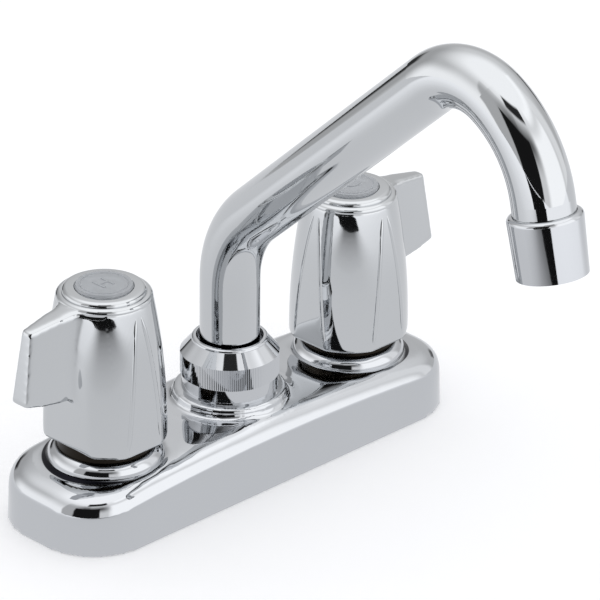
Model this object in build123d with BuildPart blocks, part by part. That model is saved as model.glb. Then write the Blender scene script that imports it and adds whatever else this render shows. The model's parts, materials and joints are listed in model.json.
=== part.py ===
from build123d import *
from math import cos, radians, sin
import os

os.makedirs("parts", exist_ok=True)

# Fits and allowances
seat_gap = 0.3
running_gap = 0.06
slip_gap = 0.1
thread_gap = 0.2
cut_overrun = 5.0

# Deck plate shell
handle_spacing = 101.6
base_length = 157.7
base_width = 48.2
base_corner_radius = 19.0
base_draft_angle = 2.0
base_height = 21.1
base_crown_radius = 760.0
base_shoulder_radius = 6.5
base_wall = 2.6
base_top_wall = 3.0

# Rubber plate in the rebate of the rim
gasket_thickness = 2.4
gasket_rebate = 1.3
gasket_hole_gap = 0.6

# Valve wells and inlet sockets
well_radius = 12.4
well_foot_level = 1.0
inlet_radius = 9.6
inlet_depth = 7.0
inlet_chamfer = 0.8
chamber_radius = 9.8
chamber_floor = 12.7
pad_radius = 17.7
pad_level = 19.2
pad_thickness = 2.8
neck_radius = 11.9
neck_top = 27.0

# Cross passage from valve to valve through the spout well
passage_radius = 2.2
passage_level = 15.0
passage_rib_radius = 4.2

# Spout well and the collar the spout nut stands on
spout_well_radius = 13.4
spout_well_foot = 8.0
spout_well_floor = 11.0
spout_bore_radius = 10.9
collar_radius = 17.35
collar_root_level = 18.6
collar_top = 24.3
collar_edge_radius = 0.8
spout_neck_radius = 12.9
spout_neck_top = 33.2
neck_chamfer = 0.5

# Valve seat, its pocket, port and spring
seat_offset = 4.7
seat_radius = 3.3
seat_bore_radius = 1.7
seat_spring_pocket_radius = 2.7
seat_spring_pocket_depth = 1.9
seat_top = 14.2
seat_height = 4.0
port_radius = 1.7
pocket_floor = 9.2
spring_wire_radius = 0.3
spring_radius = 2.2
spring_turns = 2.5

# Stem and its sleeve
disc_radius = 8.4
disc_bottom = seat_top + seat_gap
disc_top = 17.2
disc_slot_depth = 2.0
disc_slot_radius = 1.9
stem_radius = 6.44
stem_shaft_top = 38.0
stem_waist_radius = 5.4
stem_waist_top = 44.0
stem_top = 60.7
stem_tap_radius = 2.0
stem_tap_depth = 10.0
stem_groove_floor_radius = 5.1
stem_groove_level = 23.5
groove_width = 2.2
stem_ring_radius = 0.65
spline_root_radius = 4.1
spline_height = 0.5
spline_width = 0.8
spline_count = 16
sleeve_radius = chamber_radius - slip_gap
sleeve_bottom = disc_top + seat_gap
sleeve_bore_radius = stem_radius + running_gap
sleeve_flange_radius = 11.7
sleeve_flange_thickness = 2.0

# Domed bonnet nut
ring_radius = 17.4
ring_dome_radius = 4.0
nut_neck_radius = 14.4
nut_neck_top = 26.2
nut_crown_radius = 13.2
nut_crown_top = 31.5
nut_bore_radius = neck_radius + thread_gap
nut_lip_bore_radius = 7.0

# Handle hub
skirt_bottom = 26.7
skirt_radius = 18.25
rim_radius = 14.3
rim_level = 71.1
bead_radius = 1.2
step_inset = 1.7
plateau_level = 73.9
plateau_edge_radius = 1.0
side_flat_angle = 23.0
lever_flat_angle = 37.0
cavity_foot_radius = 13.6
cavity_head_radius = 11.4
cavity_top = 62.0
post_radius = 7.4
post_bottom = 45.0
socket_top = 61.0
screw_hole_radius = 2.3
screw_seat_level = 64.5
screw_pocket_radius = 5.0
button_floor = 71.0

# Lever blade, measured from the handle axis
blade_root_reach = 9.0
blade_rim_reach = 13.7
blade_rim_level = 71.8
blade_tip_top_reach = 30.6
blade_tip_top_level = 69.3
blade_tip_low_reach = 33.9
blade_tip_low_level = 46.6
blade_belly_reach = 27.5
blade_belly_level = 45.1
blade_hub_reach = 16.0
blade_hub_level = 43.2
blade_rim_width = 7.8
blade_tip_top_width = 4.0
blade_tip_low_width = 7.0
blade_hub_width = 8.3
blade_edge_radius = 1.0
blade_low_plan_level = 40.0
blade_high_plan_level = 73.0
blade_root_share = 0.7
blend_low_centre_reach = 18.41
blend_low_radius = 4.0
blend_low_angle = 0.0
blend_rim_centre_reach = 17.05
blend_rim_radius = 5.0
blend_rim_angle = 27.5
underside_blend_reach = 14.4
underside_blend_radius = 1.5
underside_blend_drop = 1.9

# Index button and handle screw
button_radius = 8.6
button_top = 74.7
button_bevel_width = 0.7
button_bevel_height = 0.3
screw_head_radius = 4.4
screw_head_height = 2.6
screw_head_edge_radius = 1.0
screw_shank_radius = 1.9
screw_shank_length = 11.0
screw_recess_width = 1.1
screw_recess_length = 5.0
screw_recess_depth = 1.4

# Knurled spout nut and the slip ring under its shoulder
foot_band_radius = 14.6
foot_band_top = 29.1
knurl_radius = 15.0
knurl_depth = 0.26
knurl_count = 160
knurl_top = 36.1
nut_lip_radius = 11.6
nut_lip_level = 40.1
nut_lip_round_radius = 0.9
nut_lip_top = nut_lip_level + nut_lip_round_radius
spout_nut_bore_radius = 13.2
spout_nut_lip_bore_radius = 10.2
washer_thickness = 0.9
washer_inner_radius = 10.4
washer_outer_radius = 13.0

# Spout tube
tube_radius = 9.1
tube_wall = 1.2
tube_foot = 28.0
lean_start_level = 59.8
lean_radius = 33.0
lean_angle = 47.7
incline_length = 95.0
crook_radius = 20.9
crook_angle = 70.2
drop_bend_radius = 36.9
drop_bend_angle = 49.8
drop_length = 3.7

# Ferrule on the foot of the tube
ferrule_radius = spout_bore_radius - running_gap
ferrule_foot = 19.5
ferrule_bore_radius = 7.4
ferrule_flange_radius = 12.5
ferrule_flange_bottom = spout_neck_top + seat_gap
ferrule_flange_top = knurl_top - washer_thickness - seat_gap
ferrule_sleeve_radius = 9.95
ferrule_sleeve_top = 35.6
ferrule_low_groove_level = 22.2
ferrule_high_groove_level = 26.0
ferrule_groove_width = 2.4
ferrule_groove_floor_radius = 9.24
spout_ring_radius = 0.8

# Outlet sleeve and what it holds, measured along the outlet axis
outlet_length = 18.0
outlet_head_radius = 10.95
outlet_foot_radius = 10.35
outlet_foot_edge_radius = 1.4
outlet_socket_depth = 7.5
outlet_bore_radius = tube_radius + slip_gap
outlet_lip_bore_radius = 8.2
outlet_lip_thickness = 1.6
outlet_washer_inner_radius = 7.2
outlet_washer_thickness = 1.8
insert_radius = 8.9
insert_wall = 1.2
insert_head_thickness = 1.4
insert_hole_radius = 0.7
insert_inner_ring_radius = 2.6
insert_inner_hole_count = 6
insert_outer_ring_radius = 5.2
insert_outer_hole_count = 12
screen_thickness = 1.0
screen_radius = 9.0
screen_slot_width = 0.9
screen_slot_pitch = 1.8
screen_slot_count = 8
screen_slot_field_radius = 7.4

handle_offset = handle_spacing / 2
handle_points = ((-handle_offset, 0), (handle_offset, 0))
crown_centre_level = base_height - base_crown_radius


# Block with drafted walls and a crowned top, inset from the outer skin of the deck plate
def crowned_block(side_inset, top_inset):
    with BuildPart() as block:
        with BuildSketch():
            RectangleRounded(
                base_length - 2 * side_inset,
                base_width - 2 * side_inset,
                base_corner_radius - side_inset,
            )
        extrude(amount=base_height, taper=base_draft_angle)
        with BuildSketch(Plane.XZ):
            with Locations((0, crown_centre_level)):
                Circle(base_crown_radius - top_inset)
        extrude(amount=base_width, both=True, mode=Mode.INTERSECT)
    return block.part


# Solid of revolution about the vertical axis from a list of radius and level pairs
def turned(points):
    with BuildPart() as blank:
        with BuildSketch(Plane.XZ):
            with BuildLine():
                Polyline(*points, close=True)
            make_face()
        revolve(axis=Axis.Z)
    return blank.part


# Writes a left and a right copy of a piece, turned half a turn on the left when it follows the lever
def write_pair(part, name, follows_lever):
    for side, x_sign in (("left", -1), ("right", 1)):
        half_turn = 180 if follows_lever and x_sign < 0 else 0
        with BuildPart() as placed:
            with Locations(Location((x_sign * handle_offset, 0, 0), (0, 0, half_turn))):
                add(part)
        placed.part.label = f"{side}_{name}"
        export_step(placed.part, f"parts/{side}_{name}.step")


# Body: shell, collar, wells and necks, then the bores
with BuildPart() as faucet_body:
    add(crowned_block(0, 0))
    crown_face = faucet_body.faces().sort_by(Axis.Z)[-1]
    fillet(crown_face.edges(), base_shoulder_radius)
    add(crowned_block(base_wall, base_top_wall), mode=Mode.SUBTRACT)
    with BuildSketch():
        RectangleRounded(
            base_length - 2 * gasket_rebate,
            base_width - 2 * gasket_rebate,
            base_corner_radius - gasket_rebate,
        )
    extrude(amount=gasket_thickness, mode=Mode.SUBTRACT)
    with BuildSketch(Plane.XY.offset(pad_level)):
        with Locations(*handle_points):
            Circle(pad_radius)
    extrude(amount=-pad_thickness)
    with BuildSketch(Plane.XY.offset(pad_level)):
        with Locations(*handle_points):
            Circle(pad_radius)
    extrude(amount=cut_overrun, mode=Mode.SUBTRACT)
    with BuildSketch(Plane.XY.offset(collar_root_level)):
        Circle(collar_radius)
    extrude(amount=collar_top - collar_root_level)
    collar_edge = faucet_body.edges().filter_by(GeomType.CIRCLE).sort_by(Axis.Z)[-1]
    fillet(collar_edge, collar_edge_radius)
    with BuildSketch(Plane.XY.offset(well_foot_level)):
        with Locations(*handle_points):
            Circle(well_radius)
    extrude(amount=pad_level - well_foot_level)
    with BuildSketch(Plane.XY.offset(pad_level)):
        with Locations(*handle_points):
            Circle(neck_radius)
    extrude(amount=neck_top - pad_level)
    with BuildSketch(Plane.XY.offset(spout_well_foot)):
        Circle(spout_well_radius)
    extrude(amount=collar_root_level - spout_well_foot)
    with BuildSketch(Plane.XY.offset(collar_top)):
        Circle(spout_neck_radius)
    extrude(amount=spout_neck_top - collar_top)
    neck_edges = faucet_body.edges().filter_by(GeomType.CIRCLE)
    spout_neck_edge = neck_edges.filter_by_position(Axis.Z, spout_neck_top, spout_neck_top)
    valve_neck_edges = neck_edges.filter_by_position(Axis.Z, neck_top, neck_top)
    chamfer(spout_neck_edge + valve_neck_edges, neck_chamfer)
    with BuildSketch(Plane.YZ):
        with Locations((0, passage_level)):
            Circle(passage_rib_radius)
    extrude(amount=handle_offset, both=True)
    with BuildSketch(Plane.YZ):
        with Locations((0, passage_level)):
            Circle(passage_radius)
    extrude(amount=handle_offset, both=True, mode=Mode.SUBTRACT)
    with BuildSketch(Plane.XY.offset(spout_well_floor)):
        Circle(spout_bore_radius)
    extrude(amount=spout_neck_top - spout_well_floor, mode=Mode.SUBTRACT)
    with BuildSketch(Plane.XY.offset(chamber_floor)):
        with Locations(*handle_points):
            Circle(chamber_radius)
    extrude(amount=neck_top - chamber_floor, mode=Mode.SUBTRACT)
    with BuildSketch(Plane.XY.offset(well_foot_level)):
        with Locations(*handle_points):
            Circle(inlet_radius)
    extrude(amount=inlet_depth, mode=Mode.SUBTRACT)
    inlet_mouths = faucet_body.edges().filter_by(GeomType.CIRCLE).filter_by_position(
        Axis.Z, well_foot_level, well_foot_level
    )
    chamfer(inlet_mouths.filter_by(lambda edge: edge.radius < well_radius), inlet_chamfer)
    seat_points = [(x, -seat_offset) for x, y in handle_points]
    with BuildSketch(Plane.XY.offset(pocket_floor)):
        with Locations(*seat_points):
            Circle(seat_radius + slip_gap)
    extrude(amount=chamber_floor - pocket_floor, mode=Mode.SUBTRACT)
    with BuildSketch(Plane.XY.offset(well_foot_level)):
        with Locations(*seat_points):
            Circle(port_radius)
    extrude(amount=chamber_floor - well_foot_level, mode=Mode.SUBTRACT)
faucet_body.part.label = "faucet_body"
export_step(faucet_body.part, "parts/faucet_body.step")

# Rubber plate that beds the rim on the deck
with BuildPart() as deck_gasket:
    gasket_inset = gasket_rebate + seat_gap
    with BuildSketch():
        RectangleRounded(
            base_length - 2 * gasket_inset,
            base_width - 2 * gasket_inset,
            base_corner_radius - gasket_inset,
        )
        with Locations(*handle_points):
            Circle(well_radius + gasket_hole_gap, mode=Mode.SUBTRACT)
    extrude(amount=gasket_thickness)
deck_gasket.part.label = "deck_gasket"
export_step(deck_gasket.part, "parts/deck_gasket.step")

# Valve seat: a rubber cup standing over the inlet port
with BuildPart() as valve_seat:
    seat_bottom = seat_top - seat_height
    with BuildSketch(Plane.XY.offset(seat_bottom)):
        with Locations((0, -seat_offset)):
            Circle(seat_radius)
            Circle(seat_bore_radius, mode=Mode.SUBTRACT)
    extrude(amount=seat_height)
    with BuildSketch(Plane.XY.offset(seat_bottom)):
        with Locations((0, -seat_offset)):
            Circle(seat_spring_pocket_radius)
    extrude(amount=seat_spring_pocket_depth, mode=Mode.SUBTRACT)
write_pair(valve_seat.part, "valve_seat", follows_lever=False)

# Coil spring from the pocket floor up into the cup
with BuildPart() as seat_spring:
    spring_foot = pocket_floor + spring_wire_radius
    spring_head = seat_top - seat_height + seat_spring_pocket_depth - spring_wire_radius
    spring_rise = spring_head - spring_foot
    with BuildLine(Plane((0, -seat_offset, spring_foot))):
        coil = Helix(spring_rise / spring_turns, spring_rise, spring_radius)
    with BuildSketch(Plane(origin=coil @ 0, z_dir=coil % 0)):
        Circle(spring_wire_radius)
    sweep(path=coil, is_frenet=True)
write_pair(seat_spring.part, "seat_spring", follows_lever=False)

# Sleeve that guides the stem, clamped by the bonnet nut
sleeve_flange_top = neck_top + sleeve_flange_thickness
with BuildPart() as stem_sleeve:
    add(
        turned(
            [
                (sleeve_bore_radius, sleeve_bottom),
                (sleeve_radius, sleeve_bottom),
                (sleeve_radius, neck_top),
                (sleeve_flange_radius, neck_top),
                (sleeve_flange_radius, sleeve_flange_top),
                (sleeve_bore_radius, sleeve_flange_top),
            ]
        )
    )
write_pair(stem_sleeve.part, "stem_sleeve", follows_lever=False)

# Bonnet nut: domed ring outside, neck running up inside the handle skirt
dome_centre_radius = ring_radius - ring_dome_radius
with BuildPart() as bonnet_nut:
    with BuildSketch(Plane.XZ):
        with BuildLine():
            dome_side = (ring_radius, pad_level)
            dome_rise = (ring_dome_radius**2 - (nut_neck_radius - dome_centre_radius) ** 2) ** 0.5
            dome_top = (nut_neck_radius, pad_level + dome_rise)
            RadiusArc(dome_side, dome_top, -ring_dome_radius)
            Polyline(
                dome_top,
                (nut_neck_radius, nut_neck_top),
                (nut_crown_radius, nut_neck_top),
                (nut_crown_radius, nut_crown_top),
                (nut_lip_bore_radius, nut_crown_top),
                (nut_lip_bore_radius, sleeve_flange_top),
                (nut_bore_radius, sleeve_flange_top),
                (nut_bore_radius, pad_level),
                dome_side,
            )
        make_face()
    revolve(axis=Axis.Z)
write_pair(bonnet_nut.part, "bonnet_nut", follows_lever=False)

# Stem: port disc, shaft with a ring groove, waist and splined top
with BuildPart() as stem:
    add(
        turned(
            [
                (0, disc_bottom),
                (disc_radius, disc_bottom),
                (disc_radius, disc_top),
                (stem_radius, disc_top),
                (stem_radius, stem_groove_level - groove_width / 2),
                (stem_groove_floor_radius, stem_groove_level - groove_width / 2),
                (stem_groove_floor_radius, stem_groove_level + groove_width / 2),
                (stem_radius, stem_groove_level + groove_width / 2),
                (stem_radius, stem_shaft_top),
                (stem_waist_radius, stem_waist_top),
                (spline_root_radius, stem_waist_top),
                (spline_root_radius, stem_top),
                (0, stem_top),
            ]
        )
    )
    with BuildSketch(Plane.XY.offset(stem_waist_top)):
        with PolarLocations(spline_root_radius, spline_count):
            Rectangle(2 * spline_height, spline_width)
    extrude(amount=stem_top - stem_waist_top)
    with BuildSketch(Plane.XY.offset(stem_top)):
        Circle(stem_tap_radius)
    extrude(amount=-stem_tap_depth, mode=Mode.SUBTRACT)
    with BuildSketch(Plane.XY.offset(disc_bottom)):
        with Locations((seat_offset, 0)):
            Circle(disc_slot_radius)
        with Locations((seat_offset + cut_overrun / 2, 0)):
            Rectangle(cut_overrun, 2 * disc_slot_radius)
    extrude(amount=disc_slot_depth, mode=Mode.SUBTRACT)
write_pair(stem.part, "stem", follows_lever=True)

# Ring in the stem groove
with BuildPart() as stem_oring:
    with BuildSketch(Plane.XZ):
        with Locations((stem_groove_floor_radius + stem_ring_radius, stem_groove_level)):
            Circle(stem_ring_radius)
    revolve(axis=Axis.Z)
write_pair(stem_oring.part, "stem_oring", follows_lever=True)


# Value on a straight line through two stations, read at another level
def at_level(level, low_station, high_station):
    low_level, low_value = low_station
    high_level, high_value = high_station
    share = (level - low_level) / (high_level - low_level)
    return low_value + (high_value - low_value) * share


# Plan section of the lever blade at one level, with a fillet on each side that runs out on the hub
def blade_section(level):
    tip_reach = at_level(
        level,
        (blade_tip_low_level, blade_tip_low_reach),
        (blade_tip_top_level, blade_tip_top_reach),
    )
    tip_width = at_level(
        level,
        (blade_tip_low_level, blade_tip_low_width),
        (blade_tip_top_level, blade_tip_top_width),
    )
    hub_width = at_level(
        level,
        (blade_hub_level, blade_hub_width),
        (blade_rim_level, blade_rim_width),
    )
    blend_radius = at_level(
        level,
        (blade_hub_level, blend_low_radius),
        (blade_rim_level, blend_rim_radius),
    )
    centre_reach = at_level(
        level,
        (blade_hub_level, blend_low_centre_reach),
        (blade_rim_level, blend_rim_centre_reach),
    )
    foot_angle = at_level(
        level,
        (blade_hub_level, blend_low_angle),
        (blade_rim_level, blend_rim_angle),
    )
    centre = Vector(centre_reach, hub_width / 2 + blend_radius)
    foot_heading = Vector(-cos(radians(foot_angle)), -sin(radians(foot_angle)))
    middle_heading = (foot_heading + Vector(0, -1)).normalized()
    foot = centre + foot_heading * blend_radius
    middle = centre + middle_heading * blend_radius
    root = foot * blade_root_share
    with BuildSketch(Plane.XY.offset(level)) as section:
        with BuildLine():
            Polyline(
                (centre.X, -hub_width / 2),
                (tip_reach, -tip_width / 2),
                (tip_reach, tip_width / 2),
                (centre.X, hub_width / 2),
            )
            ThreePointArc((centre.X, hub_width / 2), (middle.X, middle.Y), (foot.X, foot.Y))
            Polyline((foot.X, foot.Y), (root.X, root.Y), (root.X, -root.Y), (foot.X, -foot.Y))
            ThreePointArc((foot.X, -foot.Y), (middle.X, -middle.Y), (centre.X, -hub_width / 2))
        make_face()
        tip_corners = section.vertices().sort_by(Axis.X)[-2:]
        fillet(tip_corners, blade_edge_radius)
    return section.sketch


# Lever blade: tapered plan loft trimmed by the side outline
with BuildPart() as blade:
    for level in (blade_low_plan_level, blade_high_plan_level):
        add(blade_section(level))
    loft(ruled=True)
    low_slope = (blade_tip_low_level - blade_belly_level) / (blade_tip_low_reach - blade_belly_reach)
    top_slope = (blade_tip_top_level - blade_rim_level) / (blade_tip_top_reach - blade_rim_reach)
    outline_reach = blade_tip_low_reach + cut_overrun
    with BuildSketch(Plane.XZ) as side_outline:
        with BuildLine():
            Polyline(
                (blade_root_reach, blade_hub_level - underside_blend_drop),
                (underside_blend_reach, blade_hub_level - underside_blend_drop),
                (underside_blend_reach, blade_hub_level),
                (blade_hub_reach, blade_hub_level),
                (blade_belly_reach, blade_belly_level),
                (outline_reach, blade_belly_level + low_slope * (outline_reach - blade_belly_reach)),
                (outline_reach, blade_rim_level + top_slope * (outline_reach - blade_rim_reach)),
                (blade_rim_reach, blade_rim_level),
                (blade_root_reach, blade_rim_level),
                close=True,
            )
        make_face()
        blend_corner = (underside_blend_reach, blade_hub_level)
        fillet(side_outline.vertices().sort_by_distance(blend_corner)[0], underside_blend_radius)
    extrude(amount=base_width, both=True, mode=Mode.INTERSECT)

# Handle: turned hub with a beaded rim and a raised plateau, four flats, the blade, the hollow and its splined post
with BuildPart() as handle:
    bead_centre_radius = rim_radius - bead_radius
    step_radius = rim_radius - step_inset
    step_foot_level = rim_level + (bead_radius**2 - (bead_centre_radius - step_radius) ** 2) ** 0.5
    with BuildSketch(Plane.XZ) as hub_outline:
        with BuildLine():
            Polyline((0, skirt_bottom), (skirt_radius, skirt_bottom), (rim_radius, rim_level))
            ThreePointArc(
                (rim_radius, rim_level),
                (bead_centre_radius, rim_level + bead_radius),
                (step_radius, step_foot_level),
            )
            Polyline(
                (step_radius, step_foot_level),
                (step_radius, plateau_level),
                (0, plateau_level),
                (0, skirt_bottom),
            )
        make_face()
        plateau_corner = hub_outline.vertices().sort_by_distance((step_radius, plateau_level))[0]
        fillet(plateau_corner, plateau_edge_radius)
    revolve(axis=Axis.Z)
    side_reach = skirt_radius * cos(radians(side_flat_angle))
    lever_reach = skirt_radius * cos(radians(lever_flat_angle))
    outer_reach = skirt_radius + cut_overrun
    for turn, foot_reach in enumerate((lever_reach, side_reach, side_reach, side_reach)):
        with BuildSketch(Plane.XZ.rotated((0, 0, 90 * turn))):
            with BuildLine():
                Polyline(
                    (foot_reach, skirt_bottom),
                    (outer_reach, skirt_bottom),
                    (outer_reach, rim_level),
                    (rim_radius, rim_level),
                    close=True,
                )
            make_face()
        extrude(amount=skirt_radius, both=True, mode=Mode.SUBTRACT)
    add(blade.part)
    with BuildSketch(Plane.XZ):
        with BuildLine():
            Polyline(
                (0, skirt_bottom),
                (cavity_foot_radius, skirt_bottom),
                (cavity_head_radius, cavity_top),
                (post_radius, cavity_top),
                (post_radius, post_bottom),
                (0, post_bottom),
                close=True,
            )
        make_face()
    revolve(axis=Axis.Z, mode=Mode.SUBTRACT)
    with BuildSketch(Plane.XY.offset(post_bottom)):
        Circle(spline_root_radius + slip_gap)
        with PolarLocations(spline_root_radius, spline_count):
            Rectangle(2 * (spline_height + slip_gap), spline_width + 2 * slip_gap)
    extrude(amount=socket_top - post_bottom, mode=Mode.SUBTRACT)
    with BuildSketch(Plane.XY.offset(socket_top)):
        Circle(screw_hole_radius)
    extrude(amount=screw_seat_level - socket_top, mode=Mode.SUBTRACT)
    with BuildSketch(Plane.XY.offset(screw_seat_level)):
        Circle(screw_pocket_radius)
    extrude(amount=button_floor - screw_seat_level, mode=Mode.SUBTRACT)
    with BuildSketch(Plane.XY.offset(button_floor)):
        Circle(button_radius + slip_gap)
    extrude(amount=plateau_level - button_floor, mode=Mode.SUBTRACT)
write_pair(handle.part, "handle", follows_lever=True)

# Clear cap in the round pocket on top of the handle
with BuildPart() as index_button:
    with BuildSketch(Plane.XY.offset(button_floor)):
        Circle(button_radius)
    extrude(amount=button_top - button_floor)
    button_edge = index_button.faces().sort_by(Axis.Z)[-1].edges()
    chamfer(button_edge, button_bevel_width, button_bevel_height)
write_pair(index_button.part, "index_button", follows_lever=True)

# Screw under the cap, with a cross recess
with BuildPart() as handle_screw:
    with BuildSketch(Plane.XY.offset(screw_seat_level)):
        Circle(screw_head_radius)
    extrude(amount=screw_head_height)
    head_edge = handle_screw.faces().sort_by(Axis.Z)[-1].edges()
    fillet(head_edge, screw_head_edge_radius)
    with BuildSketch(Plane.XY.offset(screw_seat_level)):
        Circle(screw_shank_radius)
    extrude(amount=-screw_shank_length)
    with BuildSketch(Plane.XY.offset(screw_seat_level + screw_head_height)):
        Rectangle(screw_recess_length, screw_recess_width)
        Rectangle(screw_recess_width, screw_recess_length)
    extrude(amount=-screw_recess_depth, mode=Mode.SUBTRACT)
write_pair(handle_screw.part, "handle_screw", follows_lever=True)

# Spout nut: smooth foot band, straight-knurled band, cone and rounded lip
with BuildPart() as spout_nut:
    with BuildSketch(Plane.XZ):
        with BuildLine():
            Polyline(
                (0, collar_top),
                (foot_band_radius, collar_top),
                (foot_band_radius, knurl_top),
                (knurl_radius, knurl_top),
                (nut_lip_radius, nut_lip_level),
            )
            lip_inner = (nut_lip_radius - nut_lip_round_radius, nut_lip_top)
            RadiusArc((nut_lip_radius, nut_lip_level), lip_inner, -nut_lip_round_radius)
            Polyline(lip_inner, (0, nut_lip_top), (0, collar_top))
        make_face()
    revolve(axis=Axis.Z)
    root_radius = knurl_radius - knurl_depth
    knurl_points = []
    for tooth in range(knurl_count):
        crest_angle = radians(360 * tooth / knurl_count)
        root_angle = radians(360 * (tooth + 1 / 2) / knurl_count)
        knurl_points.append((knurl_radius * cos(crest_angle), knurl_radius * sin(crest_angle)))
        knurl_points.append((root_radius * cos(root_angle), root_radius * sin(root_angle)))
    with BuildSketch(Plane.XY.offset(foot_band_top)):
        with BuildLine():
            Polyline(*knurl_points, close=True)
        make_face()
    extrude(amount=knurl_top - foot_band_top)
    with BuildSketch(Plane.XY.offset(collar_top)):
        Circle(spout_nut_bore_radius)
    extrude(amount=knurl_top - collar_top, mode=Mode.SUBTRACT)
    with BuildSketch(Plane.XY.offset(knurl_top)):
        Circle(spout_nut_lip_bore_radius)
    extrude(amount=nut_lip_top - knurl_top, mode=Mode.SUBTRACT)
spout_nut.part.label = "spout_nut"
export_step(spout_nut.part, "parts/spout_nut.step")

# Slip ring between the nut shoulder and the spout flange
with BuildPart() as spout_thrust_washer:
    with BuildSketch(Plane.XY.offset(knurl_top)):
        Circle(washer_outer_radius)
        Circle(washer_inner_radius, mode=Mode.SUBTRACT)
    extrude(amount=-washer_thickness)
spout_thrust_washer.part.label = "spout_thrust_washer"
export_step(spout_thrust_washer.part, "parts/spout_thrust_washer.step")

# Spout tube swept along the riser, the lean, the incline and the crook
with BuildPart() as spout_tube:
    with BuildLine(Plane.YZ) as spout_path:
        riser = Line((0, tube_foot), (0, lean_start_level))
        lean = JernArc(riser @ 1, riser % 1, lean_radius, lean_angle)
        incline = Line(lean @ 1, (lean @ 1) + (lean % 1) * incline_length)
        crook = JernArc(incline @ 1, incline % 1, crook_radius, crook_angle)
        drop_bend = JernArc(crook @ 1, crook % 1, drop_bend_radius, drop_bend_angle)
        tube_end = (drop_bend @ 1) + (drop_bend % 1) * (drop_length + outlet_socket_depth)
        drop = Line(drop_bend @ 1, tube_end)
    with BuildSketch(Plane(origin=riser @ 0, z_dir=riser % 0)):
        Circle(tube_radius)
        Circle(tube_radius - tube_wall, mode=Mode.SUBTRACT)
    sweep(path=spout_path.line)
spout_tube.part.label = "spout_tube"
export_step(spout_tube.part, "parts/spout_tube.step")

# Ferrule: plug with two ring grooves, flange held by the nut, socket for the tube
with BuildPart() as spout_ferrule:
    ferrule_outline = [(ferrule_bore_radius, ferrule_foot), (ferrule_radius, ferrule_foot)]
    for level in (ferrule_low_groove_level, ferrule_high_groove_level):
        groove_low = level - ferrule_groove_width / 2
        groove_high = level + ferrule_groove_width / 2
        ferrule_outline.append((ferrule_radius, groove_low))
        ferrule_outline.append((ferrule_groove_floor_radius, groove_low))
        ferrule_outline.append((ferrule_groove_floor_radius, groove_high))
        ferrule_outline.append((ferrule_radius, groove_high))
    ferrule_outline += [
        (ferrule_radius, ferrule_flange_bottom),
        (ferrule_flange_radius, ferrule_flange_bottom),
        (ferrule_flange_radius, ferrule_flange_top),
        (ferrule_sleeve_radius, ferrule_flange_top),
        (ferrule_sleeve_radius, ferrule_sleeve_top),
        (tube_radius + running_gap, ferrule_sleeve_top),
        (tube_radius + running_gap, tube_foot),
        (ferrule_bore_radius, tube_foot),
    ]
    add(turned(ferrule_outline))
spout_ferrule.part.label = "spout_ferrule"
export_step(spout_ferrule.part, "parts/spout_ferrule.step")

# Rings in the two ferrule grooves
with BuildPart() as spout_orings:
    with BuildSketch(Plane.XZ):
        ring_centre_radius = ferrule_groove_floor_radius + spout_ring_radius
        with Locations((ring_centre_radius, ferrule_low_groove_level), (ring_centre_radius, ferrule_high_groove_level)):
            Circle(spout_ring_radius)
    revolve(axis=Axis.Z)
spout_orings.part.label = "spout_orings"
export_step(spout_orings.part, "parts/spout_orings.step")

# Frame at the outlet: local X is the radius, local Y runs down the outlet axis
outlet_heading = drop % 1
outlet_start = (drop_bend @ 1) + outlet_heading * drop_length
outlet_axis = Axis(outlet_start, outlet_heading)
outlet_profile_plane = Plane(
    origin=outlet_start,
    x_dir=(1, 0, 0),
    z_dir=Vector(1, 0, 0).cross(outlet_heading),
)


# Plane square to the outlet axis at a distance down it
def outlet_plane(distance):
    return Plane(origin=outlet_start + outlet_heading * distance, x_dir=(1, 0, 0), z_dir=outlet_heading)


# Solid of revolution about the outlet axis from a list of radius and distance pairs
def turned_at_outlet(points):
    with BuildPart() as blank:
        with BuildSketch(outlet_profile_plane):
            with BuildLine():
                Polyline(*points, close=True)
            make_face()
        revolve(axis=outlet_axis)
    return blank.part


outlet_lip_start = outlet_length - outlet_lip_thickness

# Outlet sleeve: tapered cup with a rounded foot and an inward lip
with BuildPart() as aerator_housing:
    with BuildSketch(outlet_profile_plane) as sleeve_profile:
        with BuildLine():
            Polyline(
                (outlet_bore_radius, 0),
                (outlet_head_radius, 0),
                (outlet_foot_radius, outlet_length),
                (outlet_lip_bore_radius, outlet_length),
                (outlet_lip_bore_radius, outlet_lip_start),
                (outlet_bore_radius, outlet_lip_start),
                close=True,
            )
        make_face()
        foot_corner = sleeve_profile.vertices().sort_by_distance(
            outlet_profile_plane.from_local_coords((outlet_foot_radius, outlet_length))
        )[0]
        fillet(foot_corner, outlet_foot_edge_radius)
    revolve(axis=outlet_axis)
aerator_housing.part.label = "aerator_housing"
export_step(aerator_housing.part, "parts/aerator_housing.step")

# Flat ring under the tube end
outlet_washer_end = outlet_socket_depth + outlet_washer_thickness
with BuildPart() as aerator_washer:
    with BuildSketch(outlet_plane(outlet_socket_depth)):
        Circle(tube_radius)
        Circle(outlet_washer_inner_radius, mode=Mode.SUBTRACT)
    extrude(amount=outlet_washer_thickness)
aerator_washer.part.label = "aerator_washer"
export_step(aerator_washer.part, "parts/aerator_washer.step")

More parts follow.
